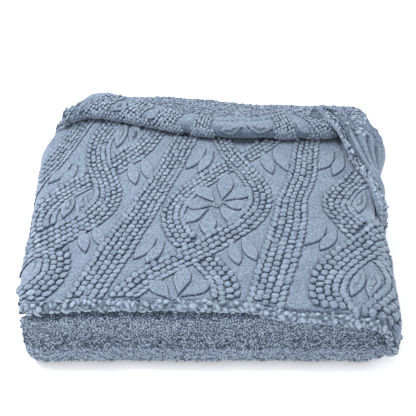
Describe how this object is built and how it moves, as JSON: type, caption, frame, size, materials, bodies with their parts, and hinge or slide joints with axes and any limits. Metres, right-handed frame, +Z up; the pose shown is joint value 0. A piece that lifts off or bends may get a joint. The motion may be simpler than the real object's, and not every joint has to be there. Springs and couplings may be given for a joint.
{
  "type": "folded plush throw blanket",
  "caption": "Thick two-faced plush throw lying folded back and forth, its rear end turned back as a cuff and a rear corner turned up over the side.",
  "frame": {"origin": "centre of the folded stack's footprint, on the surface it lies on", "axes": "+Z up, +Y from the folded front towards the rear, +X to the right seen from the front"},
  "size_m": [0.4548, 0.4352, 0.1142],
  "materials": {
    "plush": "dusty blue plush: carved velour face with rows of pile beads, curly fleece back, fully matt"
  },
  "bodies": {
    "root": {"blanket": "plush"}
  },
  "joints": []
}
